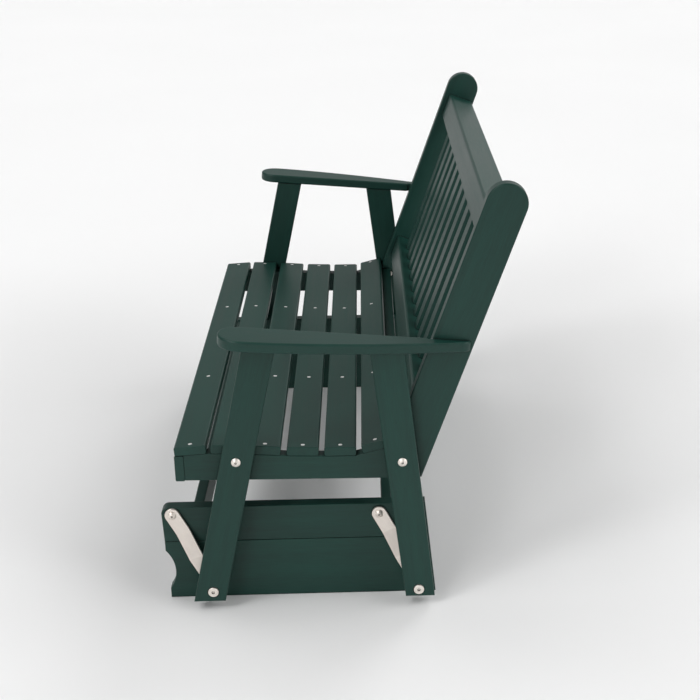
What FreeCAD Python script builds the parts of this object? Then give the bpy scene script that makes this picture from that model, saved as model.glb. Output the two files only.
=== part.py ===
import FreeCAD
import Part
import Sketcher
import os
import math

# Two-seat glider bench. +X along the bench (a sitter's left), front faces -Y, +Z up,
# origin on the floor under the middle of the bounding box. Millimetres.
# Section coordinates (y, z) below are measured from a working line; y_shift moves the
# whole bench so that the box is centred on Y = 0.

V = FreeCAD.Vector
doc = FreeCAD.newDocument("glider_bench")
sheet = doc.addObject("Spreadsheet::Sheet", "dims")

DIMS = [
    # layers across the length
    ("y_shift", 81.921), ("board", 27), ("leg_out", 625), ("panel_gap", 28), ("edge_round", 3),
    # base end panels
    ("panel_front", -296), ("panel_front_low", -293.6), ("panel_top", 219), ("panel_joint", 137.3),
    ("panel_rear_top", 261), ("panel_rear_low", 284), ("panel_corner", 15),
    ("notch_top", 115), ("notch_low", 22), ("notch_deep_y", -275), ("foot_front", -289),
    ("stretch_thick", 22), ("stretch_front_y", -230), ("stretch_rear_y", 168.5),
    ("stretch_low", 150), ("stretch_top", 216),
    # glide linkage
    ("piv_front_y", -272.5), ("piv_front_z", 203.7), ("piv_span_y", 435.8), ("piv_span_z", -6.1),
    ("link_run", 82), ("link_drop", 159), ("link_wide", 31), ("link_thick", 5), ("link_bend_a", 45.5),
    ("link_bend_b", 103.5), ("link_joggle", 19), ("pin_dia", 8), ("pin_play", 0.06), ("washer_thick", 1.8),
    ("washer_dia", 20), ("head_dia", 17.2), ("head_high", 4.8), ("nut_flats", 13), ("nut_high", 6.4),
    ("nut_recess_dia", 18), ("nut_recess_deep", 8.6), ("cap_dia", 22.2), ("cap_high", 4.6),
    ("cap_recess_dia", 25.2), ("cap_recess_deep", 2.6), ("cap_socket", 7), ("cap_socket_deep", 2.4),
    # legs
    ("leg_foot", 21.4), ("fleg_y", -199.6), ("fleg_half", 33.31), ("fleg_lean_front", 0.2242), ("fleg_lean_rear", 0.2242),
    ("rleg_y", 248.6), ("rleg_half", 31.0), ("rleg_lean_front", -0.1208), ("rleg_lean_rear", -0.1088),
    # armrests
    ("arm_top_z", 625.6), ("arm_pitch", 0.08075), ("arm_thick", 22), ("arm_in", 594),
    # seat frame
    ("fbolt_y", -126.8), ("fbolt_z", 350.4), ("fbolt_pilot", 7.2), ("fbolt_end", 4), ("rbolt_y", 212.3), ("rbolt_z", 342.9), ("dome_dia", 19.2), ("dome_high", 4.8),
    ("apron_y", -255.5), ("apron_thick", 19.5), ("apron_low", 295.5), ("apron_top", 352.9),
    ("rail_low_front", 297.1), ("rail_low_rear", 293.3), ("rail_end_y", 190),
    ("rearrail_y", 189), ("rearrail_thick", 26), ("rearrail_low", 302), ("rearrail_top", 360),
    # seat slats: centre of the top face and tilt (degrees, rear edge up)
    ("slat_wide", 65.5), ("slat_last_wide", 60), ("slat_thick", 19.5), ("slat_half", 598), ("slat_round", 4.5), ("end_round", 1.6), ("joint_gap", 0.6),
    ("sa_y", -222.4), ("sa_z", 375.0), ("sa_tilt", 3.6),
    ("sb_y", -147.0), ("sb_z", 376.5), ("sb_tilt", -1.0),
    ("sc_y", -69.3), ("sc_z", 372.2), ("sc_tilt", -3.8),
    ("sd_y", 8.2), ("sd_z", 367.9), ("sd_tilt", -1.6),
    ("se_y", 85.0), ("se_z", 366.2), ("se_tilt", 0.0),
    ("sf_y", 156.5), ("sf_z", 377.0), ("sf_tilt", 14.2),
    ("screw_end_x", 584.5), ("screw_mid_x", 231), ("screw_head", 8.4), ("screw_shank", 5), ("screw_sink", 0.4),
    # back, in its own leaning frame: n backwards, u up along the back
    ("back_y", 216), ("back_z", 398), ("back_lean", 19.8), ("back_bar", 65), ("back_bar_round", 6),
    ("back_top_u", 428.8), ("post_front_n", -13.5), ("post_wide", 83.2), ("post_arc_u", 519.0),
    ("bslat_wide", 46), ("bslat_thick", 20), ("bslat_n", 22.5), ("bslat_pitch", 88),
]
for i, (alias, value) in enumerate(DIMS):
    cell = "A%d" % (i + 1)
    sheet.set(cell, str(value))
    sheet.setAlias(cell, alias)
doc.recompute()
D = dict(DIMS)


def d(alias):
    return float(sheet.get(alias))


parts = []          # (object, name)


def plane(body, role):
    return [o for o in body.Origin.OriginFeatures if o.Role == role][0]


def new_body(name):
    b = doc.addObject("PartDesign::Body", name)
    b.Label = name
    parts.append((b, name))
    return b


def put(body, x, y, z, angle=0.0):
    """Place a body; angle in degrees about X."""
    body.Placement = FreeCAD.Placement(V(x, y - d("y_shift"), z), FreeCAD.Rotation(V(1, 0, 0), angle))


def sketch(body, name, role="YZ_Plane"):
    sk = body.newObject("Sketcher::SketchObject", name)
    sk.AttachmentSupport = [(plane(body, role), "")]
    sk.MapMode = "FlatFace"
    return sk


def num(expression):
    """Value of an expression in the sheet's aliases."""
    known = {k: float(v) for k, v in D.items()}
    text = str(expression).replace("dims.", "")
    return work_out(text, known)


def work_out(text, known):
    """Small arithmetic reader: numbers, aliases, + - * /, brackets, sin() and cos() in degrees."""
    pos = [0]
    s = text.replace(" ", "")

    def peek():
        return s[pos[0]] if pos[0] < len(s) else ""

    def factor():
        c = peek()
        if c == "-":
            pos[0] += 1
            return -factor()
        if c == "(":
            pos[0] += 1
            v = total()
            pos[0] += 1
            return v
        j = pos[0]
        while pos[0] < len(s) and (s[pos[0]].isalnum() or s[pos[0]] in "._"):
            pos[0] += 1
        word = s[j:pos[0]]
        if peek() == "(" and word in ("sin", "cos"):
            pos[0] += 1
            v = total()
            pos[0] += 1
            return math.sin(math.radians(v)) if word == "sin" else math.cos(math.radians(v))
        return known[word] if word in known else float(word)

    def term():
        v = factor()
        while peek() and peek() in "*/":
            c = peek()
            pos[0] += 1
            w = factor()
            v = v * w if c == "*" else v / w
        return v

    def total():
        v = term()
        while peek() and peek() in "+-":
            c = peek()
            pos[0] += 1
            w = term()
            v = v + w if c == "+" else v - w
        return v

    return total()


def bind(expression):
    """Sheet expression with trig arguments given units."""
    out = []
    s = str(expression)
    i = 0
    while i < len(s):
        if s.startswith("sin(", i) or s.startswith("cos(", i):
            depth = 0
            j = i + 3
            while True:
                if s[j] == "(":
                    depth += 1
                elif s[j] == ")":
                    depth -= 1
                    if depth == 0:
                        break
                j += 1
            out.append(s[i:i + 4] + "(" + s[i + 4:j] + ") * 1 deg)")
            i = j + 1
        else:
            out.append(s[i])
            i += 1
    return "".join(out)


def outline(sk, points, arcs=None):
    """Closed outline through points (pairs of sheet expressions). arcs: {edge index: (radius, +1 or -1)}
    where the sign gives the side on which the centre lies (+1 left of the edge's direction)."""
    arcs = arcs or {}
    P = [(num(a), num(b)) for a, b in points]
    n = len(P)
    for i in range(n):
        a, c = P[i], P[(i + 1) % n]
        if i in arcs:
            r, side = num(arcs[i][0]), arcs[i][1]
            mx, my = (a[0] + c[0]) / 2, (a[1] + c[1]) / 2
            dx, dy = c[0] - a[0], c[1] - a[1]
            L = math.hypot(dx, dy)
            h = math.sqrt(max(r * r - L * L / 4, 0.0))
            cx, cy = mx - dy / L * h * side, my + dx / L * h * side
            ta, tc = math.atan2(a[1] - cy, a[0] - cx), math.atan2(c[1] - cy, c[0] - cx)
            if side < 0:
                ta, tc = tc, ta          # an arc always runs anticlockwise
            circle = Part.Circle(V(cx, cy, 0), V(0, 0, 1), r)
            sk.addGeometry(Part.ArcOfCircle(circle, ta, tc))
        else:
            sk.addGeometry(Part.LineSegment(V(a[0], a[1], 0), V(c[0], c[1], 0)))

    def start(i):
        return 2 if (i in arcs and arcs[i][1] < 0) else 1

    def end(i):
        return 1 if (i in arcs and arcs[i][1] < 0) else 2
    for i in range(n):
        sk.addConstraint(Sketcher.Constraint("Coincident", i, end(i), (i + 1) % n, start((i + 1) % n)))
    for i in range(n):
        k = sk.addConstraint(Sketcher.Constraint("DistanceX", -1, 1, i, start(i), P[i][0]))
        sk.setExpression("Constraints[%d]" % k, bind(points[i][0]))
        k = sk.addConstraint(Sketcher.Constraint("DistanceY", -1, 1, i, start(i), P[i][1]))
        sk.setExpression("Constraints[%d]" % k, bind(points[i][1]))
    for i in arcs:
        k = sk.addConstraint(Sketcher.Constraint("Radius", i, num(arcs[i][0])))
        sk.setExpression("Constraints[%d]" % k, bind(arcs[i][0]))


def circles(sk, holes):
    """holes: (x expression, y expression, diameter expression)"""
    for i, (ex, ey, ed) in enumerate(holes):
        x, y, dia = num(ex), num(ey), num(ed)
        sk.addGeometry(Part.Circle(V(x, y, 0), V(0, 0, 1), dia / 2))
        for kind, e, val in (("DistanceX", ex, x), ("DistanceY", ey, y)):
            k = sk.addConstraint(Sketcher.Constraint(kind, -1, 1, i, 3, val))
            sk.setExpression("Constraints[%d]" % k, bind(e))
        k = sk.addConstraint(Sketcher.Constraint("Diameter", i, dia))
        sk.setExpression("Constraints[%d]" % k, bind(ed))


def pad(body, sk, name, length, both=False, back=False):
    p = body.newObject("PartDesign::Pad", name)
    p.Profile = sk
    p.Length = num(length)
    p.setExpression("Length", bind(length))
    if both:
        if hasattr(p, "SideType"):
            p.SideType = "Symmetric"
        else:
            p.Midplane = True
    if back:
        p.Reversed = True
    return p


def pocket(body, sk, name, depth, both=False, back=False):
    p = body.newObject("PartDesign::Pocket", name)
    p.Profile = sk
    p.Length = num(depth)
    p.setExpression("Length", bind(depth))
    if both:
        if hasattr(p, "SideType"):
            p.SideType = "Symmetric"
        else:
            p.Midplane = True
    if back:
        p.Reversed = True
    return p


def round_edges(body, feature, name, radius, keep):
    """Fillet the feature's edges that keep(edge) accepts."""
    doc.recompute()
    names = ["Edge%d" % (i + 1) for i, e in enumerate(feature.Shape.Edges) if keep(e)]
    f = body.newObject("PartDesign::Fillet", name)
    f.Base = (feature, names)
    f.Radius = num(radius)
    f.setExpression("Radius", bind(radius))
    doc.recompute()
    if "Invalid" in f.State or f.Shape.isNull() or not f.Shape.isValid():
        raise RuntimeError("rounding failed on " + name)
    return f


def flat_in_x(e):
    """An edge that lies in a plane of constant x: the outline of a board cut in the Y-Z plane."""
    return e.BoundBox.XLength < 1e-4


def along_x(e):
    return e.BoundBox.YLength < 1e-4 and e.BoundBox.ZLength < 1e-4 and e.BoundBox.XLength > 1


LEG_IN = "dims.leg_out - dims.board"
PANEL_OUT = "dims.leg_out - dims.board - dims.panel_gap"
leg_in = num(LEG_IN)
rail_in = leg_in - d("board")
panel_out = num(PANEL_OUT)
panel_in = panel_out - d("board")
SIDES = (("left", 1), ("right", -1))


def side_x(inner, thick, s):
    """x of the low face of a board whose inner face is at |x| = inner on side s."""
    return inner if s > 0 else -(inner + thick)


def circle_through(a, b, c):
    ax, ay = a
    bx, by = b
    cx, cy = c
    k = 2 * (ax * (by - cy) + bx * (cy - ay) + cx * (ay - by))
    ux = ((ax * ax + ay * ay) * (by - cy) + (bx * bx + by * by) * (cy - ay) + (cx * cx + cy * cy) * (ay - by)) / k
    uy = ((ax * ax + ay * ay) * (cx - bx) + (bx * bx + by * by) * (ax - cx) + (cx * cx + cy * cy) * (bx - ax)) / k
    return math.hypot(ax - ux, ay - uy)


PIV_U = (("dims.piv_front_y", "dims.piv_front_z"),
         ("dims.piv_front_y + dims.piv_span_y", "dims.piv_front_z + dims.piv_span_z"))
PIV_L = (("dims.piv_front_y + dims.link_run", "dims.piv_front_z - dims.link_drop"),
         ("dims.piv_front_y + dims.piv_span_y + dims.link_run", "dims.piv_front_z + dims.piv_span_z - dims.link_drop"))

# ---------------------------------------------------------------- base end panels
REAR_AT_JOINT = "dims.panel_rear_low + (dims.panel_rear_top - dims.panel_rear_low) * dims.panel_joint / dims.panel_top"
NOTCH_R = circle_through((d("panel_front_low"), d("notch_top")), (d("notch_deep_y"), (d("notch_top") + d("notch_low")) / 2),
                         (d("foot_front"), d("notch_low")))
for side, s in SIDES:
    b = new_body("base_panel_lower_" + side)
    sk = sketch(b, b.Label + "_outline")
    top = "dims.panel_joint - dims.joint_gap / 2"
    outline(sk, [("dims.panel_front_low", top), ("dims.panel_front_low", "dims.notch_top"),
                 ("dims.foot_front", "dims.notch_low"), ("dims.foot_front", "0"), ("dims.panel_rear_low", "0"),
                 (REAR_AT_JOINT, top)], {1: ("%.4f" % NOTCH_R, -1)})
    p = pad(b, sk, b.Label + "_board", "dims.board")
    round_edges(b, p, b.Label + "_rounding", "dims.edge_round - 1.2", flat_in_x)
    put(b, side_x(panel_in, d("board"), s), 0, 0)

    b = new_body("base_panel_upper_" + side)
    sk = sketch(b, b.Label + "_outline")
    c = "dims.panel_corner"
    low = "dims.panel_joint + dims.joint_gap / 2"
    outline(sk, [("dims.panel_front_low", low), (REAR_AT_JOINT, low),
                 ("dims.panel_rear_top", "dims.panel_top"), ("dims.panel_front + " + c, "dims.panel_top"),
                 ("dims.panel_front", "dims.panel_top - " + c)], {3: (c, 1)})
    p = pad(b, sk, b.Label + "_board", "dims.board")
    round_edges(b, p, b.Label + "_rounding", "dims.edge_round - 1.2", flat_in_x)
    sk = sketch(b, b.Label + "_bolt_holes")
    circles(sk, [(y, z, "dims.pin_dia + 0.2") for y, z in PIV_U])
    pocket(b, sk, b.Label + "_bores", "4 * dims.board", both=True)
    # nut recesses open on the inner face
    sk = sketch(b, b.Label + "_nut_circles")
    circles(sk, [(y, z, "dims.nut_recess_dia") for y, z in PIV_U])
    if s > 0:
        pocket(b, sk, b.Label + "_nut_recess", "dims.nut_recess_deep", back=True)
    else:
        sk.setExpression("AttachmentOffset.Base.z", "dims.board")
        pocket(b, sk, b.Label + "_nut_recess", "dims.nut_recess_deep")
    put(b, side_x(panel_in, d("board"), s), 0, 0)

for where, y in (("front", "stretch_front_y"), ("rear", "stretch_rear_y")):
    b = new_body("base_stretcher_" + where)
    sk = sketch(b, b.Label + "_section")
    outline(sk, [("dims." + y, "dims.stretch_low"), ("dims.%s + dims.stretch_thick" % y, "dims.stretch_low"),
                 ("dims.%s + dims.stretch_thick" % y, "dims.stretch_top"), ("dims." + y, "dims.stretch_top")])
    p = pad(b, sk, b.Label + "_board", "2 * (%s - dims.board)" % PANEL_OUT, both=True)
    round_edges(b, p, b.Label + "_rounding", "dims.edge_round - 0.5", along_x)
    put(b, 0, 0, 0)

# ---------------------------------------------------------------- glide links
LINK_LEN = math.hypot(d("link_run"), d("link_drop"))
link_angle = math.degrees(math.atan2(d("link_run"), d("link_drop")))
LINK_LEN_TEXT = "%.5f" % LINK_LEN
link_x = panel_out + d("washer_thick") + 0.2       # inner face of a link's upper flat
for where, k in (("front", 0), ("rear", 1)):
    for side, s in SIDES:
        b = new_body("glide_link_%s_%s" % (where, side))
        sk = sketch(b, b.Label + "_profile", "XZ_Plane")
        g = "" if s > 0 else "-"
        end = "dims.link_wide / 2"
        half = "dims.link_thick / 2"
        j = "dims.link_joggle"
        # side view: x across the bench, z down the link; the middle run slopes outwards
        pts = [("0 - %s" % half, end), ("0 - %s" % half, "0 - dims.link_bend_a"),
               ("%s - %s" % (j, half), "0 - dims.link_bend_b"), ("%s - %s" % (j, half), "0 - %s - %s" % (LINK_LEN_TEXT, end)),
               ("%s + %s" % (j, half), "0 - %s - %s" % (LINK_LEN_TEXT, end)), ("%s + %s" % (j, half), "0 - dims.link_bend_b + 1"),
               (half, "0 - dims.link_bend_a + 1"), (half, end)]
        if s < 0:
            pts = [("0 - (%s)" % a, c) for a, c in pts]
        outline(sk, pts)
        p = pad(b, sk, b.Label + "_bar", "dims.link_wide", both=True)

        def corner(e):
            bb = e.BoundBox
            return (abs(bb.XLength - d("link_thick")) < 1e-3 and bb.YLength < 1e-4 and bb.ZLength < 1e-4)
        f = round_edges(b, p, b.Label + "_ends", "dims.link_wide / 2 - 0.05", corner)
        sk = sketch(b, b.Label + "_eyes")
        circles(sk, [("0", "0", "dims.pin_dia + 2 * dims.pin_play"), ("0", "0 - " + LINK_LEN_TEXT, "dims.pin_dia + 2 * dims.pin_play")])
        pocket(b, sk, b.Label + "_eye_bores", "6 * dims.board", both=True)
        put(b, s * (link_x + d("link_thick") / 2), num(PIV_U[k][0]), num(PIV_U[k][1]), link_angle)

# ---------------------------------------------------------------- legs
for where, k in (("front", 0), ("rear", 1)):
    a = "fleg" if k == 0 else "rleg"
    top_u = "(dims.arm_top_z - dims.arm_thick - 0.03)"

    def edge(sign):
        return "dims.%s_lean_%s" % (a, "front" if sign == "-" else "rear")

    def at(sign, z):
        # y of the front (-) or rear (+) edge at height z
        return "dims.%s_y %s dims.%s_half + %s * (%s - 20)" % (a, sign, a, edge(sign), z)

    def top_z(sign):
        # where the leg's edge meets the sloping underside of the armrest
        base = "(dims.%s_y %s dims.%s_half - 20 * %s)" % (a, sign, a, edge(sign))
        return "(%s - dims.arm_pitch * %s) / (1 + dims.arm_pitch * %s)" % (top_u, base, edge(sign))
    for side, s in SIDES:
        b = new_body("leg_%s_%s" % (where, side))
        sk = sketch(b, b.Label + "_outline")
        outline(sk, [(at("-", "dims.leg_foot"), "dims.leg_foot"), (at("+", "dims.leg_foot"), "dims.leg_foot"),
                     (at("+", top_z("+")), top_z("+")), (at("-", top_z("-")), top_z("-"))])
        p = pad(b, sk, b.Label + "_board", "dims.board")
        round_edges(b, p, b.Label + "_rounding", "dims.edge_round", flat_in_x)
        bolt = ("dims.fbolt_y", "dims.fbolt_z") if k == 0 else ("dims.rbolt_y", "dims.rbolt_z")
        sk = sketch(b, b.Label + "_bolt_holes")
        circles(sk, [(bolt[0], bolt[1], "dims.pin_dia + 0.2"), (PIV_L[k][0], PIV_L[k][1], "dims.pin_dia + 0.2")])
        pocket(b, sk, b.Label + "_bores", "4 * dims.board", both=True)
        sk = sketch(b, b.Label + "_cap_circle")
        circles(sk, [(PIV_L[k][0], PIV_L[k][1], "dims.cap_recess_dia")])
        if s > 0:
            sk.setExpression("AttachmentOffset.Base.z", "dims.board")
            pocket(b, sk, b.Label + "_cap_recess", "dims.cap_recess_deep")
        else:
            pocket(b, sk, b.Label + "_cap_recess", "dims.cap_recess_deep", back=True)
        put(b, side_x(leg_in, d("board"), s), 0, 0)

# ---------------------------------------------------------------- armrests
# Plan outline, x outwards from the bench's middle, y backwards, on the sloping top plane.
ARM = [(594.0, 265.8), (594.0, -111.2), (622.0, -145.7), (676.0, -101.9), (671.8, -14.0), (624.4, 278.0), (611.5, 333.0),
       (598.3, 352.5), (598.3, 267.0)]
ARM_ARCS = {1: 35.25, 2: 44.79, 3: 1001.0, 4: 2125.0, 6: 22.0}
for i, (x, y) in enumerate(ARM):
    cell = "B%d" % (i + 1)
    sheet.set(cell, str(x)); sheet.setAlias(cell, "arm_px%d_x" % (i + 1)); D["arm_px%d_x" % (i + 1)] = x
    cell = "C%d" % (i + 1)
    sheet.set(cell, str(y)); sheet.setAlias(cell, "arm_px%d_y" % (i + 1)); D["arm_px%d_y" % (i + 1)] = y
for i in ARM_ARCS:
    cell = "E%d" % (i + 1)
    sheet.set(cell, str(ARM_ARCS[i])); sheet.setAlias(cell, "arm_edge%d_rad" % (i + 1)); D["arm_edge%d_rad" % (i + 1)] = ARM_ARCS[i]
doc.recompute()
arm_angle = -math.degrees(math.atan(d("arm_pitch")))
ca = math.cos(math.radians(arm_angle))
for side, s in SIDES:
    b = new_body("armrest_" + side)
    sk = sketch(b, b.Label + "_plan", "XY_Plane")
    pts = []
    for i in range(len(ARM)):
        ex = "dims.arm_px%d_x" % (i + 1)
        pts.append((ex if s > 0 else "0 - " + ex, "dims.arm_px%d_y / %.6f" % (i + 1, ca)))
    outline(sk, pts, {i: ("dims.arm_edge%d_rad" % (i + 1), s) for i in ARM_ARCS})
    p = pad(b, sk, b.Label + "_board", "dims.arm_thick * %.6f" % ca, back=True)

    def flat_in_z(e):
        return e.BoundBox.ZLength < 1e-4
    round_edges(b, p, b.Label + "_rounding", "dims.edge_round + 1", flat_in_z)
    put(b, 0, 0, d("arm_top_z"), arm_angle)

# ---------------------------------------------------------------- seat slats
SLATS = ["sa", "sb", "sc", "sd", "se", "sf"]


def slat_w(a):
    return "dims.slat_last_wide" if a == "sf" else "dims.slat_wide"


def under(a, sign):
    """(y, z) expressions of a slat's lower corner; sign '-' front, '+' rear"""
    y = "dims.%s_y %s %s / 2 * cos(dims.%s_tilt) + dims.slat_thick * sin(dims.%s_tilt)" % (a, sign, slat_w(a), a, a)
    z = "dims.%s_z %s %s / 2 * sin(dims.%s_tilt) - dims.slat_thick * cos(dims.%s_tilt)" % (a, sign, slat_w(a), a, a)
    return y, z


for i, a in enumerate(SLATS):
    b = new_body("seat_slat_%d" % (i + 1))
    sk = sketch(b, b.Label + "_section")
    w = slat_w(a)
    outline(sk, [("0 - %s / 2" % w, "0 - dims.slat_thick"), ("%s / 2" % w, "0 - dims.slat_thick"), ("%s / 2" % w, "0"), ("0 - %s / 2" % w, "0")])
    p = pad(b, sk, b.Label + "_board", "2 * dims.slat_half", both=True)
    f = round_edges(b, p, b.Label + "_rounding", "dims.slat_round", along_x)
    round_edges(b, f, b.Label + "_end_rounding", "dims.end_round", flat_in_x)
    holes = ["dims.screw_end_x", "dims.screw_mid_x", "0 - dims.screw_mid_x", "0 - dims.screw_end_x"]
    sk = sketch(b, b.Label + "_screw_heads", "XY_Plane")
    circles(sk, [(x, "0", "dims.screw_head + 0.4") for x in holes])
    pocket(b, sk, b.Label + "_head_recess", "4.4")
    sk = sketch(b, b.Label + "_screw_shanks", "XY_Plane")
    circles(sk, [(x, "0", "dims.screw_shank + 0.2") for x in (holes[0], holes[3])])
    pocket(b, sk, b.Label + "_shank_bores", "dims.slat_thick + 5")
    put(b, 0, d(a + "_y"), d(a + "_z"), d(a + "_tilt"))

# ---------------------------------------------------------------- seat frame
for side, s in SIDES:
    b = new_body("seat_rail_" + side)
    sk = sketch(b, b.Label + "_outline")
    front = "dims.apron_y + dims.apron_thick"
    pts = [(front, "dims.rail_low_front"), ("dims.rail_end_y", "dims.rail_low_rear")]
    # the rear end is square and butts against the post, up to the last slat's underside
    fy, fz = under("sf", "-")
    ry, rz = under("sf", "+")
    y6a, z6a, y6b, z6b = num(fy), num(fz), num(ry), num(rz)
    slope = (z6b - z6a) / (y6b - y6a)
    z_meet = z6a + slope * (d("rail_end_y") - y6a) - 0.05
    pts.append(("dims.rail_end_y", "%.4f" % z_meet))
    for a in ("sf", "se", "sd", "sc", "sb", "sa"):
        for sign in ("+", "-"):
            if (a, sign) in (("sf", "+"), ("sa", "-")):
                continue
            pts.append(under(a, sign))
    y1a, z1a = [num(q) for q in under("sa", "-")]
    y1b, z1b = [num(q) for q in under("sa", "+")]
    zf = z1a + (z1b - z1a) * (num(front) - y1a) / (y1b - y1a)
    pts.append((front, "%.4f" % (zf - 0.05)))
    outline(sk, pts)
    p = pad(b, sk, b.Label + "_board", "dims.board")

    def low_edges(e):
        return flat_in_x(e) and e.BoundBox.ZMax < d("rail_low_front") + 1

    def other_edges(e):
        bb = e.BoundBox
        return flat_in_x(e) and bb.ZMax > d("rail_low_front") + 1 and bb.YMin < y6a + 1 and bb.YLength < 300
    f = round_edges(b, p, b.Label + "_lower_rounding", "dims.end_round", low_edges)
    round_edges(b, f, b.Label + "_upper_rounding", "dims.end_round", other_edges)
    # pilot hole for the front frame screw, from the outer face
    sk = sketch(b, b.Label + "_pilot_hole")
    circles(sk, [("dims.fbolt_y", "dims.fbolt_z", "dims.fbolt_pilot")])
    if s > 0:
        sk.setExpression("AttachmentOffset.Base.z", "dims.board")
        pocket(b, sk, b.Label + "_pilot", "dims.board - dims.fbolt_end")
    else:
        pocket(b, sk, b.Label + "_pilot", "dims.board - dims.fbolt_end", back=True)
    put(b, side_x(rail_in, d("board"), s), 0, 0)

b = new_body("seat_apron")
sk = sketch(b, "seat_apron_section")
outline(sk, [("dims.apron_y", "dims.apron_low"), ("dims.apron_y + dims.apron_thick", "dims.apron_low"),
             ("dims.apron_y + dims.apron_thick", "dims.apron_top"), ("dims.apron_y", "dims.apron_top")])
p = pad(b, sk, "seat_apron_board", "2 * dims.slat_half", both=True)
f = round_edges(b, p, "seat_apron_rounding", "dims.edge_round", along_x)
round_edges(b, f, "seat_apron_end_rounding", "dims.end_round", flat_in_x)
put(b, 0, 0, 0)

b = new_body("seat_rear_rail")
sk = sketch(b, "seat_rear_rail_section")
outline(sk, [("dims.rearrail_y", "dims.rearrail_low"), ("dims.rearrail_y + dims.rearrail_thick", "dims.rearrail_low"),
             ("dims.rearrail_y + dims.rearrail_thick", "dims.rearrail_top"), ("dims.rearrail_y", "dims.rearrail_top")])
p = pad(b, sk, "seat_rear_rail_board", "2 * (%s - dims.board)" % LEG_IN, both=True)
round_edges(b, p, "seat_rear_rail_rounding", "dims.edge_round", along_x)
put(b, 0, 0, 0)

# ---------------------------------------------------------------- back
lean = d("back_lean")


def back_put(body, x=0.0):
    put(body, x, d("back_y"), d("back_z"), -lean)


def back_local(y, z):
    """(n, u) of a point given in the working frame"""
    c, t = math.cos(math.radians(lean)), math.sin(math.radians(lean))
    dy, dz = y - d("back_y"), z - d("back_z")
    return dy * c - dz * t, dy * t + dz * c


def back_world(n, u):
    c, t = math.cos(math.radians(lean)), math.sin(math.radians(lean))
    return d("back_y") + n * c + u * t, d("back_z") - n * t + u * c


for side, s in SIDES:
    b = new_body("back_post_" + side)
    sk = sketch(b, b.Label + "_outline")
    f, r = "dims.post_front_n", "dims.post_front_n + dims.post_wide"

    def low(n):
        return "(dims.rail_low_rear - dims.back_z + (%s) * sin(dims.back_lean)) / cos(dims.back_lean)" % n
    mid_u = "dims.post_arc_u + dims.post_wide / 2"
    # the lower front corner is cut upright where the side rail butts against it
    dy, dz = "(dims.rail_end_y - dims.back_y)", "(dims.rail_low_rear - dims.back_z)"
    toe = ("%s * cos(dims.back_lean) - %s * sin(dims.back_lean)" % (dy, dz), "%s * sin(dims.back_lean) + %s * cos(dims.back_lean)" % (dy, dz))
    cut_u = "(%s - dims.post_front_n * cos(dims.back_lean)) / sin(dims.back_lean)" % dy
    outline(sk, [toe, (r, low(r)), (r, "dims.post_arc_u"), (f + " + dims.post_wide / 2", mid_u), (f, "dims.post_arc_u"), (f, cut_u)],
            {2: ("dims.post_wide / 2", 1), 3: ("dims.post_wide / 2", 1)})
    p = pad(b, sk, b.Label + "_board", "dims.board")
    round_edges(b, p, b.Label + "_rounding", "dims.edge_round", flat_in_x)
    n, u = back_local(d("rbolt_y"), d("rbolt_z"))
    sk = sketch(b, b.Label + "_bolt_hole")
    circles(sk, [("%.5f" % n, "%.5f" % u, "dims.pin_dia + 0.2")])
    pocket(b, sk, b.Label + "_bore", "4 * dims.board", both=True)
    sk = sketch(b, b.Label + "_nut_circle")
    circles(sk, [("%.5f" % n, "%.5f" % u, "dims.nut_recess_dia")])
    if s > 0:
        pocket(b, sk, b.Label + "_nut_recess", "dims.nut_recess_deep", back=True)
    else:
        sk.setExpression("AttachmentOffset.Base.z", "dims.board")
        pocket(b, sk, b.Label + "_nut_recess", "dims.nut_recess_deep")
    back_put(b, side_x(rail_in, d("board"), s))

for name, u0 in (("back_lower_rail", "0"), ("back_top_rail", "dims.back_top_u")):
    b = new_body(name)
    sk = sketch(b, name + "_section")
    outline(sk, [("0", u0), ("dims.back_bar", u0), ("dims.back_bar", u0 + " + dims.back_bar"), ("0", u0 + " + dims.back_bar")])
    p = pad(b, sk, name + "_bar", "2 * (%s - dims.board)" % LEG_IN, both=True)
    round_edges(b, p, name + "_rounding", "dims.back_bar_round", along_x)
    back_put(b)

N_BACK = 12
for i in range(N_BACK):
    b = new_body("back_slat_%02d" % (i + 1))
    sk = sketch(b, b.Label + "_section", "XY_Plane")
    outline(sk, [("0 - dims.bslat_wide / 2", "dims.bslat_n"), ("dims.bslat_wide / 2", "dims.bslat_n"),
                 ("dims.bslat_wide / 2", "dims.bslat_n + dims.bslat_thick"), ("0 - dims.bslat_wide / 2", "dims.bslat_n + dims.bslat_thick")])
    sk.setExpression("AttachmentOffset.Base.z", "dims.back_bar")
    p = pad(b, sk, b.Label + "_board", "dims.back_top_u - dims.back_bar")

    def long_z(e):
        return e.BoundBox.XLength < 1e-4 and e.BoundBox.YLength < 1e-4
    round_edges(b, p, b.Label + "_rounding", "dims.edge_round", long_z)
    back_put(b, (i - (N_BACK - 1) / 2.0) * d("bslat_pitch"))

# ---------------------------------------------------------------- fasteners (groups of identical pieces)
SH = d("y_shift")


def rod(x0, x1, y, z, dia):
    """Cylinder along X between two x values."""
    a, c = min(x0, x1), max(x0, x1)
    return Part.makeCylinder(dia / 2, c - a, V(a, y - SH, z), V(1, 0, 0))


def ring(x0, x1, y, z, outer, inner):
    return rod(x0, x1, y, z, outer).cut(rod(min(x0, x1) - 1, max(x0, x1) + 1, y, z, inner))


def hexagon(x0, x1, y, z, flats, inner):
    a, c = min(x0, x1), max(x0, x1)
    r = flats / math.sqrt(3)
    pts = [V(a, y - SH + r * math.cos(math.radians(60 * k)), z + r * math.sin(math.radians(60 * k))) for k in range(7)]
    body = Part.Face(Part.makePolygon(pts)).extrude(V(c - a, 0, 0))
    if inner > 0:
        body = body.cut(rod(a - 1, c + 1, y, z, inner))
    return body


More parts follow.
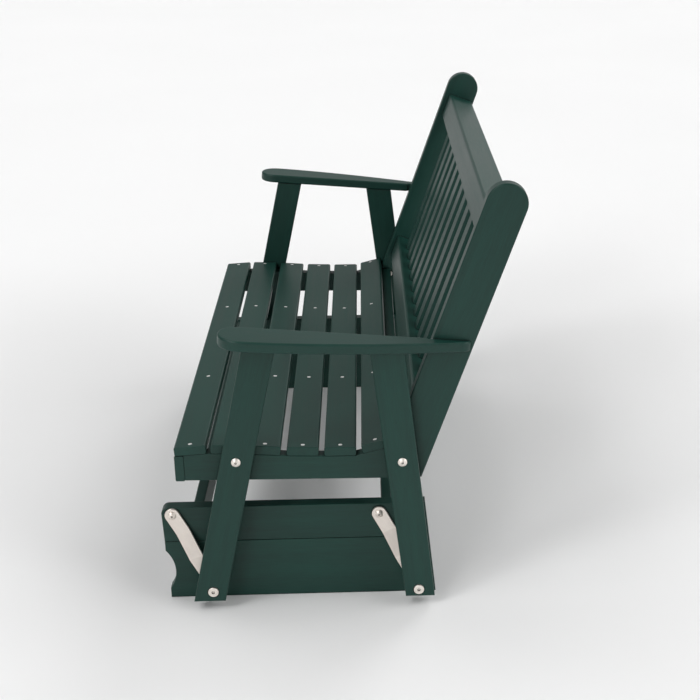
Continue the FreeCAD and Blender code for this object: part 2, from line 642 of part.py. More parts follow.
def dome(x, s, y, z, dia, high):
    """Mushroom head standing outwards (side s) from x: a ball cap on a short rim, with a hexagon socket."""
    rim = 0.9
    cap = high - rim
    r = ((dia / 2) ** 2 + cap ** 2) / (2 * cap)
    ball = Part.makeSphere(r, V(x + s * (rim + cap - r), y - SH, z))
    head = ball.common(rod(x + s * rim, x + s * (high + 1), y, z, dia)).fuse(rod(x, x + s * rim, y, z, dia))
    return head.cut(hexagon(x + s * (high + 1), x + s * (high - 2.2), y, z, 5, 0)).removeSplitter()


def group(name, solids):
    o = doc.addObject("Part::Feature", name)
    o.Label = name
    o.Shape = Part.makeCompound(solids)
    o.Placement = FreeCAD.Placement()
    parts.append((o, name))
    return o


pin, play, wt, wd = d("pin_dia"), d("pin_play"), d("washer_thick"), d("washer_dia")
upper = [(num(y), num(z)) for y, z in PIV_U]
lower = [(num(y), num(z)) for y, z in PIV_L]
bolts, washers, nuts = [], [], []
for s in (1, -1):
    for y, z in upper:
        head = s * (link_x + d("link_thick") + 0.2)
        end = s * (panel_in + 0.6)
        bolts.append(dome(head, s, y, z, d("head_dia"), d("head_high")).fuse(rod(head + s * 0.01, end, y, z, pin)).removeSplitter())
        washers.append(ring(s * panel_out, s * (panel_out + wt), y, z, wd, pin + 0.2))
        seat_x = panel_in + d("nut_recess_deep")
        washers.append(ring(s * seat_x, s * (seat_x - 1.5), y, z, 16, pin + 0.2))
        nuts.append(hexagon(s * (seat_x - 1.5), s * (seat_x - 1.5 - d("nut_high")), y, z, d("nut_flats"), pin + 0.03))
group("pivot_bolts_upper", bolts)
group("pivot_washers_upper", washers)
group("pivot_nuts_upper", nuts)

bolts, washers, nuts = [], [], []
low_x = link_x + d("link_joggle")                 # inner face of a link's lower flat
for s in (1, -1):
    for y, z in lower:
        floor_x = d("leg_out") - d("cap_recess_deep")
        inner_end = low_x - 0.2 - wt - d("nut_high") - 1.5
        cap = rod(s * floor_x, s * (floor_x + d("cap_high")), y, z, d("cap_dia"))
        edges = [e for e in cap.Edges if abs(abs(e.CenterOfMass.x) - (floor_x + d("cap_high"))) < 0.01]
        cap = cap.makeFillet(1.2, edges)
        r = d("cap_socket") / math.sqrt(3)
        socket = hexagon(s * (floor_x + d("cap_high") + 1), s * (floor_x + d("cap_high") - d("cap_socket_deep")), y, z, d("cap_socket"), 0)
        bolts.append(cap.fuse(rod(s * (floor_x + 0.01), s * inner_end, y, z, pin)).cut(socket).removeSplitter())
        washers.append(ring(s * leg_in, s * (leg_in - wt), y, z, wd, pin + 0.2))
        washers.append(ring(s * (low_x - 0.2), s * (low_x - 0.2 - wt), y, z, wd, pin + 0.2))
        nuts.append(hexagon(s * (low_x - 0.2 - wt), s * (low_x - 0.2 - wt - d("nut_high")), y, z, d("nut_flats"), pin + 0.03))
group("pivot_bolts_lower", bolts)
group("pivot_washers_lower", washers)
group("pivot_nuts_lower", nuts)

bolts, washers, nuts = [], [], []
for s in (1, -1):
    out = s * d("leg_out")
    # front: a large screw through the leg into the side rail
    y, z = d("fbolt_y"), d("fbolt_z")
    tip = s * (rail_in + d("fbolt_end") + 1.5)
    bolts.append(dome(out, s, y, z, d("dome_dia"), d("dome_high")).fuse(rod(out + s * 0.01, tip, y, z, pin)).removeSplitter())
    # rear: a through bolt in leg and post, nut let into the post's inner face
    y, z = d("rbolt_y"), d("rbolt_z")
    end = s * (rail_in + 0.6)
    bolts.append(dome(out, s, y, z, d("dome_dia"), d("dome_high")).fuse(rod(out + s * 0.01, end, y, z, pin)).removeSplitter())
    seat_x = rail_in + d("nut_recess_deep")
    washers.append(ring(s * seat_x, s * (seat_x - 1.5), y, z, 16, pin + 0.2))
    nuts.append(hexagon(s * (seat_x - 1.5), s * (seat_x - 1.5 - d("nut_high")), y, z, d("nut_flats"), pin + 0.03))
group("frame_bolts", bolts)
group("frame_washers", washers)
group("frame_nuts", nuts)

# seat screws: countersunk, square to each slat; the outer rows run on into the side rails
screws = []
for a in SLATS:
    place = FreeCAD.Placement(V(0, d(a + "_y") - SH, d(a + "_z")), FreeCAD.Rotation(V(1, 0, 0), d(a + "_tilt")))
    for x, length in ((d("screw_end_x"), 42), (d("screw_mid_x"), 18), (-d("screw_mid_x"), 18), (-d("screw_end_x"), 42)):
        top = -d("screw_sink")
        head = Part.makeCone(d("screw_shank") / 2, d("screw_head") / 2, 2.6, V(x, 0, top - 3.0), V(0, 0, 1))
        rim = Part.makeCylinder(d("screw_head") / 2, 0.4, V(x, 0, top - 0.4), V(0, 0, 1))
        shank = Part.makeCylinder(d("screw_shank") / 2, length - 3.0, V(x, 0, top - length), V(0, 0, 1))
        w = 1.1
        cross = Part.makeBox(4.4, w, 2.2, V(x - 2.2, -w / 2, top - 1.6)).fuse(Part.makeBox(w, 4.4, 2.2, V(x - w / 2, -2.2, top - 1.6)))
        one = shank.fuse([head, rim]).cut(cross).removeSplitter()
        one.Placement = place.multiply(one.Placement)
        screws.append(one)
group("seat_screws", screws)

# hidden dowels: glued pins that hold board ends together
dowels = []
for s in (1, -1):
    mid = s * (panel_in + d("board") / 2)
    for y in (-205.0, -55.0, 95.0, 215.0):
        dowels.append(Part.makeCylinder(5, 60, V(mid, y - SH, d("panel_joint") - 30)))
    for y0 in (d("stretch_front_y"), d("stretch_rear_y")):
        for z in (164.0, 186.0):
            dowels.append(rod(s * (panel_in - 22), s * (panel_in + 16), y0 + d("stretch_thick") / 2, z, 8))
group("base_dowels", dowels)

dowels = []
for s in (1, -1):
    mid = s * (leg_in + d("board") / 2)
    for a in ("fleg", "rleg"):
        z0 = 560.0
        k = (d(a + "_lean_front") + d(a + "_lean_rear")) / 2
        y0 = d(a + "_y") + k * (z0 - 20)
        direction = V(0, k, 1)
        direction.normalize()
        top = (d("arm_top_z") - d("arm_pitch") * (y0 + 8 * k)) - 9 - z0
        dowels.append(Part.makeCylinder(5, top / direction.z, V(mid, y0 - SH, z0), direction))
    y, z = back_world(d("back_bar") / 2, d("back_bar") / 2)
    dowels.append(rod(s * (rail_in - 30), s * (rail_in + 18), y, z, 12))
    y, z = back_world(d("back_bar") / 2, d("back_top_u") + d("back_bar") / 2)
    dowels.append(rod(s * (rail_in - 30), s * (rail_in + 18), y, z, 12))
    dowels.append(rod(s * (rail_in - 25), s * (rail_in + 16), d("rearrail_y") + d("rearrail_thick") / 2, 316.0, 8))
    # apron into the front end of each side rail
    rmid = s * (rail_in + d("board") / 2)
    dowels.append(Part.makeCylinder(4, 50, V(rmid, d("apron_y") + 8 - SH, 318.0), V(0, 1, 0)))
group("frame_dowels", dowels)

dowels = []
for i in range(N_BACK):
    x = (i - (N_BACK - 1) / 2.0) * d("bslat_pitch")
    for u in (d("back_bar") - 18, d("back_top_u") - 18):
        y, z = back_world(d("bslat_n") + d("bslat_thick") / 2, u)
        direction = V(0, math.sin(math.radians(lean)), math.cos(math.radians(lean)))
        dowels.append(Part.makeCylinder(4, 36, V(x, y - SH, z), direction))
group("back_slat_dowels", dowels)

# ---------------------------------------------------------------- write the solids
doc.recompute()
for o in doc.Objects:
    if "Invalid" in o.State or "Error" in o.State:
        raise RuntimeError("object %s is %s" % (o.Label, o.State))
os.makedirs("parts", exist_ok=True)
box = None
for o, name in parts:
    shape = o.Shape
    if shape.isNull() or not shape.isValid() or not shape.Solids:
        raise RuntimeError("bad shape: " + name)
    shape.exportStep("parts/" + name + ".step")
    bb = shape.BoundBox
    box = bb if box is None else box.united(bb)
    print("%-24s solids %2d volume %10.0f  x %8.1f %8.1f  y %8.1f %8.1f  z %8.1f %8.1f" % (
        name, len(shape.Solids), shape.Volume, bb.XMin, bb.XMax, bb.YMin, bb.YMax, bb.ZMin, bb.ZMax))
print("box", [round(v, 3) for v in (box.XMin, box.XMax, box.YMin, box.YMax, box.ZMin, box.ZMax)], "parts", len(parts))
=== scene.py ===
import math
import random

import bmesh
import bpy
from mathutils import Matrix, Vector
from mathutils.geometry import tessellate_polygon


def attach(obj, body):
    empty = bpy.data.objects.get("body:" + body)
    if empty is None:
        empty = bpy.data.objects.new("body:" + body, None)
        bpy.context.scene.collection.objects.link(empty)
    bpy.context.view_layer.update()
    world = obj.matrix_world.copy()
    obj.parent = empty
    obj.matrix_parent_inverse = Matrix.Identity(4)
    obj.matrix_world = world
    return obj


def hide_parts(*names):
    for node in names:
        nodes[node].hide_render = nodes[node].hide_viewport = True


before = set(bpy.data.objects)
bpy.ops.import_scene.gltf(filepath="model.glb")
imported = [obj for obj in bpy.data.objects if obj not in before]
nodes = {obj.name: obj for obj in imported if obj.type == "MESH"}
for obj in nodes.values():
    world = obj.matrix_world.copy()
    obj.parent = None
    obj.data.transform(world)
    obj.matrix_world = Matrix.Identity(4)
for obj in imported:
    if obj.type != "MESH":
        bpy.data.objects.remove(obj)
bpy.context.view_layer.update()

scene = bpy.context.scene
SHIFT = 0.081921          # working line of the sections to the frame's Y = 0
GREEN = (0.0045, 0.0368, 0.0277)
# lighter green for real scratches and for the painted highlight on eased edges
SCUFF_AND_HIGHLIGHT = (0.022, 0.058, 0.048)

# ------------------------------------------------------------------ camera
cam_data = bpy.data.cameras.new("photo_camera")
cam_data.sensor_width = 36.0
cam_data.sensor_fit = "HORIZONTAL"
cam_data.lens = 1300.0 * 36.0 / 700.0
cam_data.shift_x = (350.0 - 426.03) / 700.0
cam_data.clip_start = 0.05
cam_data.clip_end = 60.0
cam = bpy.data.objects.new("photo_camera", cam_data)
scene.collection.objects.link(cam)
yaw, pitch = math.radians(2.7364), math.radians(22.113)
level = Vector((-math.cos(yaw), math.sin(yaw), 0.0))
look = (level * math.cos(pitch) + Vector((0, 0, -math.sin(pitch)))).normalized()
right = look.cross(Vector((0, 0, 1))).normalized()
up = right.cross(look).normalized()
place = Vector((3.0026, 0.1468 - SHIFT, 1.557))
cam.matrix_world = Matrix.Translation(place) @ Matrix((right, up, -look)).transposed().to_4x4()
scene.camera = cam


# ------------------------------------------------------------------ node helpers
class Tree:
    def __init__(self, name):
        self.mat = bpy.data.materials.new(name)
        self.mat.use_nodes = True
        self.t = self.mat.node_tree
        self.t.nodes.clear()
        self.out = self.t.nodes.new("ShaderNodeOutputMaterial")
        self.bsdf = self.t.nodes.new("ShaderNodeBsdfPrincipled")
        self.t.links.new(self.bsdf.outputs[0], self.out.inputs[0])
        self.coord = self.t.nodes.new("ShaderNodeTexCoord")

    def n(self, kind, **props):
        node = self.t.nodes.new(kind)
        for k, v in props.items():
            setattr(node, k, v)
        return node

    def link(self, a, b):
        self.t.links.new(a, b)

    def mapping(self, scale, rotation=(0, 0, 0), location=(0, 0, 0), source=None):
        m = self.n("ShaderNodeMapping")
        m.inputs["Scale"].default_value = scale
        m.inputs["Rotation"].default_value = rotation
        m.inputs["Location"].default_value = location
        self.link(source or self.coord.outputs["Object"], m.inputs["Vector"])
        return m.outputs[0]

    def noise(self, vector, scale, detail=4.0, rough=0.55, distortion=0.0):
        k = self.n("ShaderNodeTexNoise")
        k.inputs["Scale"].default_value = scale
        k.inputs["Detail"].default_value = detail
        k.inputs["Roughness"].default_value = rough
        k.inputs["Distortion"].default_value = distortion
        self.link(vector, k.inputs["Vector"])
        return k.outputs["Fac"]

    def ramp(self, fac, stops):
        r = self.n("ShaderNodeValToRGB")
        e = r.color_ramp.elements
        while len(e) < len(stops):
            e.new(0.5)
        for i, (p, c) in enumerate(stops):
            e[i].position = p
            e[i].color = (c, c, c, 1) if isinstance(c, (int, float)) else tuple(c) + (1,)
        self.link(fac, r.inputs[0])
        return r.outputs[0]

    def math(self, op, a, b, clamp=False):
        m = self.n("ShaderNodeMath", operation=op, use_clamp=clamp)
        for i, v in enumerate((a, b)):
            if isinstance(v, (int, float)):
                m.inputs[i].default_value = v
            else:
                self.link(v, m.inputs[i])
        return m.outputs[0]

    def mix(self, fac, a, b, mode="MIX"):
        m = self.n("ShaderNodeMix", data_type="RGBA", blend_type=mode)
        for idx, v in ((0, fac), (6, a), (7, b)):
            if isinstance(v, (int, float)):
                m.inputs[idx].default_value = v
            elif isinstance(v, tuple):
                m.inputs[idx].default_value = v + (1,) if len(v) == 3 else v
            else:
                self.link(v, m.inputs[idx])
        return m.outputs[2]

    def bump(self, height, strength, distance, normal=None):
        b = self.n("ShaderNodeBump")
        b.inputs["Strength"].default_value = strength
        b.inputs["Distance"].default_value = distance
        self.link(height, b.inputs["Height"])
        if normal is not None:
            self.link(normal, b.inputs["Normal"])
        return b.outputs[0]


def board_space(t, along, seed):
    """Coordinates turned so that x runs with the length of the piece, moved by a seeded amount."""
    q = Vector(along).normalized().rotation_difference(Vector((1, 0, 0)))
    r = random.Random(seed)
    return t.mapping((1, 1, 1), tuple(q.to_euler("XYZ")), (r.uniform(-9, 9), r.uniform(-9, 9), r.uniform(-9, 9)))


def edge_mask(t, radius, low, high):
    """1 on the eased edges and corners of a piece, 0 on its flats, from the rounded normal."""
    bevel = t.n("ShaderNodeBevel", samples=6)
    bevel.inputs["Radius"].default_value = radius
    geo = t.n("ShaderNodeNewGeometry")
    dot = t.n("ShaderNodeVectorMath", operation="DOT_PRODUCT")
    t.link(bevel.outputs[0], dot.inputs[0])
    t.link(geo.outputs["True Normal"], dot.inputs[1])
    return t.ramp(t.math("SUBTRACT", 1.0, dot.outputs["Value"], clamp=True), [(low, 0.0), (high, 1.0)])


def lumber(name, along, seed, tone=1.0):
    """Dark green recycled-plastic board: a fine brushed grain along the board, faint colour streaks, small pits,
    scuffed edges that also carry a painted highlight, painted shade where boards meet. along: unit vector of the
    board's length."""
    t = Tree(name)
    turned = board_space(t, along, seed)
    grain = t.noise(t.mapping((26, 620, 620), source=turned), 1.0, 3.0, 0.62, 0.15)
    hair = t.noise(t.mapping((70, 2100, 2100), source=turned), 1.0, 2.0, 0.5)
    streak = t.noise(t.mapping((1.6, 60, 60), source=turned), 1.0, 3.0, 0.55, 0.3)
    cloud = t.noise(t.mapping((3.5, 9, 9), source=turned), 1.0, 3.0, 0.5)
    grit = t.noise(t.mapping((900, 900, 900), source=turned), 1.0, 2.0, 0.5)
    # pits: small short holes that the moulding leaves, a few to each palm's width
    pit = t.n("ShaderNodeTexVoronoi", feature="F1")
    pit.inputs["Scale"].default_value = 1.0
    t.link(t.mapping((60, 170, 170), source=turned), pit.inputs["Vector"])
    rare = t.n("ShaderNodeSeparateColor")
    t.link(pit.outputs["Color"], rare.inputs[0])
    hole = t.math("MULTIPLY", t.ramp(pit.outputs["Distance"], [(0.05, 1.0), (0.16, 0.0)]), t.ramp(rare.outputs[0], [(0.86, 0.0), (0.88, 1.0)]))
    base = (GREEN[0] * tone, GREEN[1] * tone, GREEN[2] * tone)
    mixed = t.math("ADD", t.math("MULTIPLY", grain, 0.45), t.math("ADD", t.math("MULTIPLY", streak, 0.30), t.math("MULTIPLY", cloud, 0.25)))
    colour = t.ramp(mixed, [(0.36, tuple(c * 0.79 for c in base)), (0.50, base), (0.66, tuple(c * 1.25 for c in base))])
    # long faint scratches that show a lighter green
    scratch = t.ramp(t.noise(t.mapping((9, 430, 430), location=(3.1, 1.7, 0.4), source=turned), 1.0, 2.0, 0.5), [(0.66, 0.0), (0.74, 1.0)])
    colour = t.mix(t.math("MULTIPLY", scratch, 0.16), colour, SCUFF_AND_HIGHLIGHT)
    colour = t.mix(t.math("MULTIPLY", hole, 0.55), colour, tuple(c * 0.35 for c in base))
    # eased edges: lighter, partly rubbed wear and partly a painted highlight, more in some places than in others
    edge = edge_mask(t, 0.0022, 0.02, 0.22)
    wear_and_highlight = t.math("MULTIPLY", edge, t.ramp(t.math("ADD", t.math("MULTIPLY", grain, 0.5), t.math("MULTIPLY", cloud, 0.5)), [(0.36, 0.25), (0.66, 1.0)]))
    # painted shade where boards meet: an occlusion mask darkens the colour nearly to black and roughens it
    seam_ao = t.n("ShaderNodeAmbientOcclusion", samples=6)
    seam_ao.inputs["Distance"].default_value = 0.006
    painted_seam_shade = t.ramp(seam_ao.outputs["AO"], [(0.30, 1.0), (0.82, 0.0)])
    wear_and_highlight = t.math("MULTIPLY", wear_and_highlight, t.math("SUBTRACT", 1.0, painted_seam_shade))
    # painted highlight and wear: eased edges are mixed towards the lighter green
    colour = t.mix(t.math("MULTIPLY", wear_and_highlight, 0.30), colour, SCUFF_AND_HIGHLIGHT)
    # painted shade: the colour is mixed nearly to black in the occluded seams
    colour = t.mix(t.math("MULTIPLY", painted_seam_shade, 0.92), colour, (0.0006, 0.0012, 0.0010))
    t.link(colour, t.bsdf.inputs["Base Color"])
    rough = t.math("ADD", t.ramp(mixed, [(0.30, 0.39), (0.72, 0.51)]), t.math("MULTIPLY", t.math("SUBTRACT", grit, 0.5), 0.12))
    rough = t.math("ADD", rough, t.math("ADD", t.math("MULTIPLY", wear_and_highlight, 0.06), t.math("MULTIPLY", painted_seam_shade, 0.40)))
    t.link(rough, t.bsdf.inputs["Roughness"])
    height = t.math("ADD", t.math("MULTIPLY", grain, 0.60), t.math("ADD", t.math("MULTIPLY", hair, 0.22), t.math("MULTIPLY", grit, 0.18)))
    height = t.math("SUBTRACT", height, t.math("ADD", t.math("MULTIPLY", hole, 0.9), t.math("MULTIPLY", scratch, 0.2)))
    soft = t.n("ShaderNodeBevel", samples=4)
    soft.inputs["Radius"].default_value = 0.0009
    t.link(t.bump(height, 0.38, 0.00022, soft.outputs[0]), t.bsdf.inputs["Normal"])
    t.bsdf.inputs["IOR"].default_value = 1.5
    t.bsdf.inputs["Specular IOR Level"].default_value = 0.37
    return t.mat


def bare_metal(name, along, seed, tint=(0.78, 0.715, 0.655), rough=0.36, uneven=0.02, nook_size=0.0022, metallic=1.0):
    """Satin steel: fine lines along the bar, soft blotches, brighter edges that are rubbed and carry a painted
    highlight, painted shade in sockets and under heads.
    """
    t = Tree(name)
    turned = board_space(t, along, seed)
    grain = t.noise(t.mapping((50, 2400, 2400), source=turned), 1.0, 3.0, 0.6)
    blotch = t.noise(t.mapping((40, 70, 70), source=turned), 1.0, 4.0, 0.6)
    nick = t.ramp(t.noise(t.mapping((90, 900, 900), location=(1.3, 0.2, 5.0), source=turned), 1.0, 2.0, 0.5), [(0.68, 0.0), (0.76, 1.0)])
    mixed = t.math("ADD", t.math("MULTIPLY", grain, 0.4), t.math("MULTIPLY", blotch, 0.6))
    colour = t.ramp(mixed, [(0.30, tuple(c * 0.92 for c in tint)), (0.70, tuple(min(c * 1.05, 1) for c in tint))])
    colour = t.mix(t.math("MULTIPLY", nick, 0.25), colour, tuple(c * 0.62 for c in tint))
    edge = edge_mask(t, 0.0008, 0.03, 0.25)
    # painted highlight and rubbing: eased edges are mixed towards a brighter tint
    colour = t.mix(t.math("MULTIPLY", edge, 0.35), colour, tuple(min(c * 1.15, 1) for c in tint))
    # painted shade in sockets and under heads: an occlusion mask darkens the colour towards near black
    recess_shade = t.n("ShaderNodeAmbientOcclusion", samples=6, only_local=True)
    recess_shade.inputs["Distance"].default_value = nook_size
    colour = t.mix(t.ramp(recess_shade.outputs["AO"], [(0.30, 1.0), (0.85, 0.0)]), colour, tuple(c * 0.12 for c in tint))
    t.link(colour, t.bsdf.inputs["Base Color"])
    t.bsdf.inputs["Metallic"].default_value = metallic
    t.link(t.ramp(mixed, [(0.3, rough - uneven), (0.7, rough + uneven)]), t.bsdf.inputs["Roughness"])
    soft = t.n("ShaderNodeBevel", samples=4)
    soft.inputs["Radius"].default_value = 0.0004
    t.link(t.bump(t.math("ADD", grain, t.math("MULTIPLY", nick, -0.6)), 0.20, 0.00005, soft.outputs[0]), t.bsdf.inputs["Normal"])
    return t.mat


def set_mat(obj, mat):
    obj.data.materials.clear()
    obj.data.materials.append(mat)


X = (1, 0, 0)
FLEG = Vector((0, 0.2242, 1)).normalized()
RLEG = Vector((0, -0.1148, 1)).normalized()
ARM = Vector((0, 1, -0.08075)).normalized()
BACK = Vector((0, math.sin(math.radians(19.8)), math.cos(math.radians(19.8)))).normalized()
LINK = Vector((0, 82, -159)).normalized()
ALONG = {"base_panel": (0, 1, 0), "base_stretcher": X, "glide_link": LINK, "leg_front": FLEG, "leg_rear": RLEG, "armrest": ARM,
         "seat_rail": (0, 1, 0), "back_post": BACK, "seat_apron": X, "seat_rear_rail": X, "seat_slat": X, "back_top_rail": X,
         "back_lower_rail": X, "back_slat": BACK}
METAL = ("glide_link", "pivot_", "frame_bolts", "frame_washers", "frame_nuts", "seat_screws")

for i, (name, obj) in enumerate(sorted(nodes.items())):
    along = next((v for k, v in ALONG.items() if name.startswith(k)), X)
    if name.startswith("seat_screws"):
        set_mat(obj, bare_metal("metal_" + name, X, 100 + i, (0.90, 0.895, 0.88), 0.50, 0.04, 0.0006, 0.45))
    elif name.startswith("pivot_bolts_upper"):
        set_mat(obj, bare_metal("metal_" + name, X, 100 + i, (0.90, 0.83, 0.76), 0.50, 0.05, 0.0045))
    elif name.startswith(METAL[1:]):
        set_mat(obj, bare_metal("metal_" + name, X, 100 + i, (0.95, 0.89, 0.82), 0.48, 0.05, 0.0050))
    elif name.startswith(METAL):
        set_mat(obj, bare_metal("metal_" + name, along, 100 + i))
    else:
        r = random.Random(500 + i)
        set_mat(obj, lumber("lumber_" + name, along, i, r.uniform(0.965, 1.04)))

# ------------------------------------------------------------------ the four bent links
def bar_link(where, side):
    """Flat bar 31 x 5 mm with round ends, two easy bends and a bolt eye at each end. Worked out flat, as w across,
    s along and t through the bar, then bent: s follows the joggled path."""
    sign = 1 if side == "left" else -1
    wide, thick, ease, eye = 0.0155, 0.0025, 0.0007, 0.00406
    span = math.hypot(0.082, 0.159)
    turn = math.atan2(0.019, 0.058)
    round_r = 0.012
    d1, d2 = 0.045, 0.103
    tangent = round_r * math.tan(turn / 2)
    arc = round_r * turn
    slope = math.hypot(0.019, 0.058) - 2 * tangent
    s1 = d1 - tangent
    s2 = s1 + arc
    s3 = s2 + slope
    s4 = s3 + arc
    end = s4 + (span - d2 - tangent)

    def bent(w, s, t):
        """flat bar -> (x outwards, w across, d down the link)"""
        if s <= s1:
            x, d, a = 0.0, s, 0.0
        elif s <= s2:
            a = (s - s1) / round_r
            x, d = round_r * (1 - math.cos(a)), s1 + round_r * math.sin(a)
        elif s <= s3:
            a = turn
            x = round_r * (1 - math.cos(turn)) + (s - s2) * math.sin(turn)
            d = s1 + round_r * math.sin(turn) + (s - s2) * math.cos(turn)
        elif s <= s4:
            a = turn - (s - s3) / round_r
            x = 0.019 - round_r * (1 - math.cos(a))
            d = d2 + tangent - round_r * math.sin(a)
        else:
            a, x, d = 0.0, 0.019, d2 + tangent + (s - s4)
        return x + t * math.cos(a), w, d - t * math.sin(a)

    stations = [0.018 + (s1 - 0.018) * k / 2 for k in range(3)]
    stations += [s1 + arc * k / 6 for k in range(1, 7)]
    stations += [s2 + slope * k / 4 for k in range(1, 5)]
    stations += [s3 + arc * k / 6 for k in range(1, 7)]
    stations += [s4 + (end - 0.018 - s4) * k / 3 for k in range(1, 4)]
    half_turn = 24

    def border(inset):
        """Right side down, lower end round, left side up, upper end round."""
        r = wide - inset
        pts = [(r, s) for s in stations]
        pts += [(r * math.cos(math.pi * k / half_turn), end + r * math.sin(math.pi * k / half_turn)) for k in range(half_turn + 1)]
        pts += [(-r, s) for s in reversed(stations)]
        pts += [(-r * math.cos(math.pi * k / half_turn), -r * math.sin(math.pi * k / half_turn)) for k in range(half_turn + 1)]
        return pts

    pivot_y = (-0.2725 if where == "front" else 0.1633) - SHIFT
    pivot_z = 0.2037 if where == "front" else 0.1976
    along = Vector((0, 0.082, -0.159)) / span
    across = Vector((0, 0.159, 0.082)) / span
    origin = Vector((sign * 0.5745, pivot_y, pivot_z))
    bm = bmesh.new()

    def vert(w, s, t):
        x, w, d = bent(w, s, t)
        return bm.verts.new(origin + Vector((sign * x, 0, 0)) + along * d + across * w)

    rings = []
    for face in (1, -1):
        steps = [math.radians(a) for a in (90, 60, 30, 0)]
        if face < 0:
            steps.reverse()
        for a in steps:
            rings.append([vert(w, s, face * (thick - ease + ease * math.sin(a))) for w, s in border(ease * (1 - math.cos(a)))])
    n = len(rings[0])
    for a, b in zip(rings, rings[1:]):
        for k in range(n):
            bm.faces.new((a[k], a[(k + 1) % n], b[(k + 1) % n], b[k]))
    m = len(stations)
    h = half_turn + 1
    sides = 2 * half_turn
    eyes = []
    for face, ring in ((1, rings[0]), (-1, rings[-1])):
        right, low, left, high = ring[:m], ring[m:m + h], ring[m + h:2 * m + h], ring[2 * m + h:]
        flat = border(ease)
        for k in range(m - 1):
            bm.faces.new((right[k], right[k + 1], left[m - 2 - k], left[m - 1 - k]))
        # each end: the round end filled up to its eye
        pair = []
        for centre, rim, flat_rim in ((end, [right[-1]] + low + [left[0]], flat[m - 1:m + h + 1]),
                                      (0.0, [left[-1]] + high + [right[0]], flat[2 * m + h - 1:] + flat[:1])):
            inner = [(eye * math.cos(2 * math.pi * k / sides), centre + eye * math.sin(2 * math.pi * k / sides)) for k in range(sides)]
            hole = [vert(w, s, face * thick) for w, s in inner]
            both = rim + hole
            for tri in tessellate_polygon([[Vector((w, s, 0)) for w, s in flat_rim], [Vector((w, s, 0)) for w, s in inner]]):
                bm.faces.new([both[k] for k in tri])
            pair.append(hole)
        eyes.append(pair)
    for a, b in zip(eyes[0], eyes[1]):
        for k in range(sides):
            bm.faces.new((a[k], b[k], b[(k + 1) % sides], a[(k + 1) % sides]))
    bmesh.ops.remove_doubles(bm, verts=bm.verts, dist=1e-6)
    bmesh.ops.recalc_face_normals(bm, faces=bm.faces)
    me = bpy.data.meshes.new("link_bar_%s_%s" % (where, side))
    bm.to_mesh(me)
    bm.free()
    o = bpy.data.objects.new(me.name, me)
    scene.collection.objects.link(o)
    me.materials.append(bare_metal("metal_" + me.name, LINK, 700 + len(where) * 3 + sign, (0.84, 0.77, 0.705), 0.30, 0.012, 0.0022, 0.75))
    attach(o, "%s_%s_link" % (where, side))
    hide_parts("glide_link_%s_%s" % (where, side))
    return o


for where in ("front", "rear"):
    for side in ("left", "right"):
        bar_link(where, side)

# ------------------------------------------------------------------ studio
def studio_floor():
    """A wide flat disc; the view of the photograph ends on it."""
    bm = bmesh.new()
    radii = [0.0, 1.0, 2.0, 3.5, 5.5, 8.0, 12.0, 18.0, 26.0]
    spokes = 72
    centre = bm.verts.new((0, 0, -0.0004))
    rings = []
    for r in radii[1:]:
        rings.append([bm.verts.new((r * math.cos(2 * math.pi * k / spokes), r * math.sin(2 * math.pi * k / spokes), -0.0004))
                      for k in range(spokes)])
    for k in range(spokes):
        bm.faces.new((centre, rings[0][k], rings[0][(k + 1) % spokes]))
        for inner, outer in zip(rings, rings[1:]):
            bm.faces.new((inner[k], outer[k], outer[(k + 1) % spokes], inner[(k + 1) % spokes]))
    me = bpy.data.meshes.new("studio_floor")
    bm.to_mesh(me)
    bm.free()
    o = bpy.data.objects.new("studio_floor", me)
    scene.collection.objects.link(o)
    t = Tree("studio_floor")
    cloud = t.noise(t.mapping((0.6, 0.6, 0.6)), 1.0, 2.0, 0.5)
    # painted shade: the floor is darker near the bench, where its shadows fall, and paler away from it
    far = t.n("ShaderNodeVectorMath", operation="LENGTH")
    t.link(t.mapping((1, 1, 1), location=(0.35, 0.05, 0.0)), far.inputs[0])
    painted_floor_shade = t.n("ShaderNodeMapRange", interpolation_type="SMOOTHSTEP")
    painted_floor_shade.inputs["From Min"].default_value = 0.75
    painted_floor_shade.inputs["From Max"].default_value = 2.1
    painted_floor_shade.inputs["To Min"].default_value = 0.952
    painted_floor_shade.inputs["To Max"].default_value = 1.05
    t.link(far.outputs["Value"], painted_floor_shade.inputs["Value"])
    t.link(t.math("MULTIPLY", t.ramp(cloud, [(0.3, 0.862), (0.7, 0.877)]), painted_floor_shade.outputs[0]), t.bsdf.inputs["Base Color"])
    t.bsdf.inputs["Roughness"].default_value = 0.9
    t.bsdf.inputs["Specular IOR Level"].default_value = 0.1
    set_mat(o, t.mat)


studio_floor()

# the studio's walls and ceiling: soft light that changes slowly with height and direction
WALL = (0.0, 0.0, 0.72, 0.0)  # low band towards +X, +Y, -X, -Y
CEILING = 0.0
BACKGROUND = 0.955
world = bpy.data.worlds.new("studio_world")
scene.world = world
world.use_nodes = True
wt = world.node_tree
wt.nodes.clear()


def world_node(kind, **props):
    node = wt.nodes.new(kind)
    for k, v in props.items():
        setattr(node, k, v)
    return node


def world_math(op, a, b, clamp=False):
    m = world_node("ShaderNodeMath", operation=op, use_clamp=clamp)
    for i, v in enumerate((a, b)):
        if isinstance(v, (int, float)):
            m.inputs[i].default_value = v
        else:
            wt.links.new(v, m.inputs[i])
    return m.outputs[0]


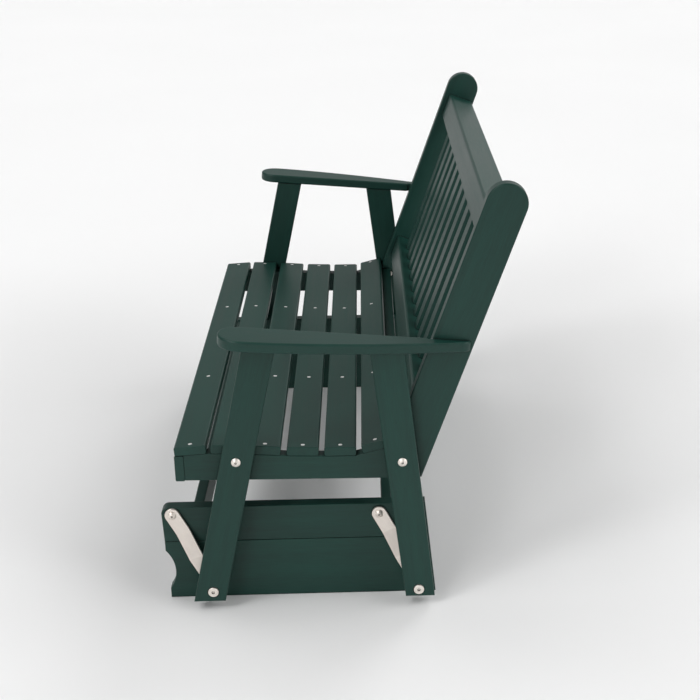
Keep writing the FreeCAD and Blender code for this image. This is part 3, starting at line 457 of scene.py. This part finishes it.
w_dir = world_node("ShaderNodeTexCoord").outputs["Generated"]
w_xyz = world_node("ShaderNodeSeparateXYZ")
wt.links.new(w_dir, w_xyz.inputs[0])
w_low = world_node("ShaderNodeMapRange", interpolation_type="SMOOTHSTEP")
w_low.inputs["From Min"].default_value = 0.55
w_low.inputs["From Max"].default_value = 0.25
wt.links.new(w_xyz.outputs[2], w_low.inputs["Value"])
w_flat = world_math("SQRT", world_math("MAXIMUM", world_math("ADD", world_math("MULTIPLY", w_xyz.outputs[0], w_xyz.outputs[0]),
                                                             world_math("MULTIPLY", w_xyz.outputs[1], w_xyz.outputs[1])), 1e-6), 0.0)
w_sum = None
for (ax, ay), strength in zip(((1, 0), (0, 1), (-1, 0), (0, -1)), WALL):
    part = world_math("ADD", world_math("MULTIPLY", w_xyz.outputs[0], ax), world_math("MULTIPLY", w_xyz.outputs[1], ay))
    part = world_math("MAXIMUM", world_math("DIVIDE", part, w_flat), 0.0)
    part = world_math("MULTIPLY", world_math("MULTIPLY", part, part), strength)
    w_sum = part if w_sum is None else world_math("ADD", w_sum, part)
w_up = world_math("MULTIPLY", world_math("SUBTRACT", 1.0, w_low.outputs[0]), CEILING)
w_all = world_math("ADD", world_math("MULTIPLY", w_sum, w_low.outputs[0]), w_up)
bg = world_node("ShaderNodeBackground")
bg.inputs[0].default_value = (1.0, 1.0, 1.0, 1)
# seen directly, the studio is one even pale tone that continues the floor
w_seen = world_node("ShaderNodeLightPath").outputs["Is Camera Ray"]
w_shown = world_math("ADD", world_math("MULTIPLY", w_all, world_math("SUBTRACT", 1.0, w_seen)), world_math("MULTIPLY", w_seen, BACKGROUND))
wt.links.new(w_shown, bg.inputs[1])
wt.links.new(bg.outputs[0], world_node("ShaderNodeOutputWorld").inputs[0])


def soft_light(name, azimuth, height, strength, spread=26.0):
    """A broad far lamp. azimuth, height: where it stands, in degrees, 0 = +X, 90 = +Y."""
    data = bpy.data.lights.new(name, "SUN")
    data.energy = strength
    data.angle = math.radians(spread)
    a, h = math.radians(azimuth), math.radians(height)
    stand = Vector((math.cos(a) * math.cos(h), math.sin(a) * math.cos(h), math.sin(h)))
    o = bpy.data.objects.new(name, data)
    o.rotation_euler = (-stand).to_track_quat("-Z", "Y").to_euler()
    o.location = stand * 6.0
    scene.collection.objects.link(o)
    return o


for k, (azimuth, height, strength, spread) in enumerate((
        (60, 22, 0.765, 26), (60, 40, 0.205, 26), (90, 40, 0.523, 26), (90, 60, 0.25, 26), (120, 60, 0.11, 26), (150, 40, 0.62, 26),
        (180, 80, 0.05, 26), (210, 60, 0.205, 26), (240, 60, 0.36, 26), (304, 40, 0.50, 15), (302, 60, 0.70, 28), (332, 22, 0.78, 20))):
    soft_light("soft_light_%d" % (k + 1), azimuth, height, strength, spread)
scene.view_settings.view_transform = "Standard"
scene.view_settings.look = "None"
scene.view_settings.exposure = 0.0
scene.view_settings.gamma = 1.0
